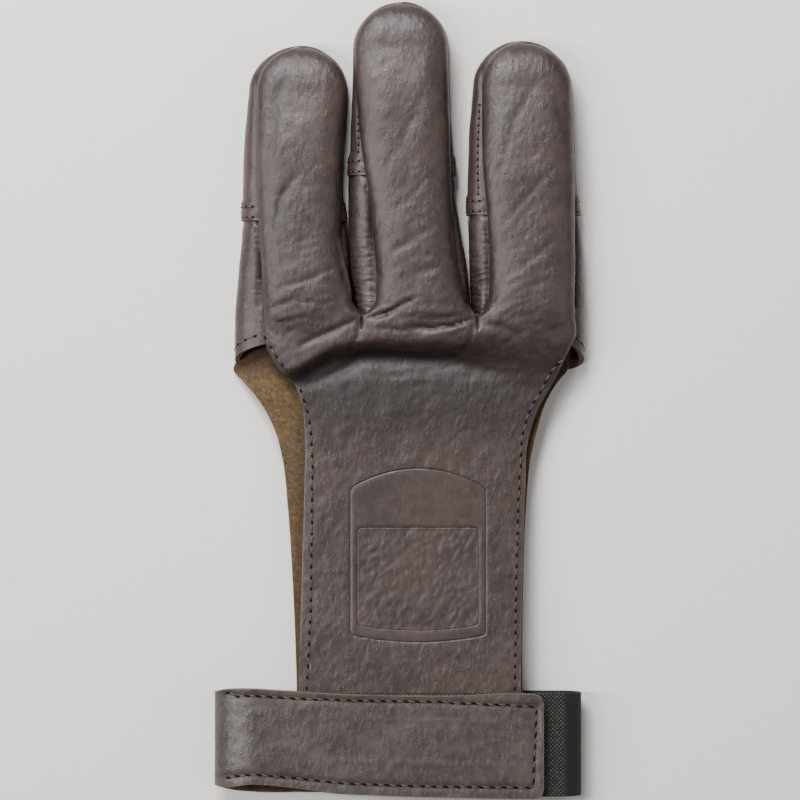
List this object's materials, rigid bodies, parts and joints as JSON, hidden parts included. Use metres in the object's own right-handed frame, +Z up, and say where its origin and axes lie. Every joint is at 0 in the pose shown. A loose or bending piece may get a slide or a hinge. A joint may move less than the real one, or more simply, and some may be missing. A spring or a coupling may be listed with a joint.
{
  "type": "archery glove",
  "caption": "Leather shooting glove with covered draw fingers, an open palm, a suede-backed hand panel and a wrist strap closing over an elastic band.",
  "frame": {"origin": "on the surface that the glove lies on, under the middle of its outline", "axes": "+Y along the glove towards the fingertips, +X across it towards the ring finger, +Z up out of the back of the hand"},
  "size_m": [0.1021, 0.2198, 0.0163],
  "materials": {
    "glove_leather": "grained, satin",
    "palm_leather": "grained, satin",
    "fingertip_leather": "smooth, satin",
    "suede": "napped, matt",
    "strap_leather": "smooth, satin",
    "black_elastic": "woven, matt",
    "hook_tape": "hooked, matt"
  },
  "bodies": {
    "root": {"back_panel": "glove_leather", "palm_panel": "palm_leather", "index_fingertip": "fingertip_leather", "middle_fingertip": "fingertip_leather", "ring_fingertip": "fingertip_leather", "hand_lining": "suede", "wrist_strap": "strap_leather", "wrist_band": "black_elastic", "hook_patch": "hook_tape"}
  },
  "joints": []
}
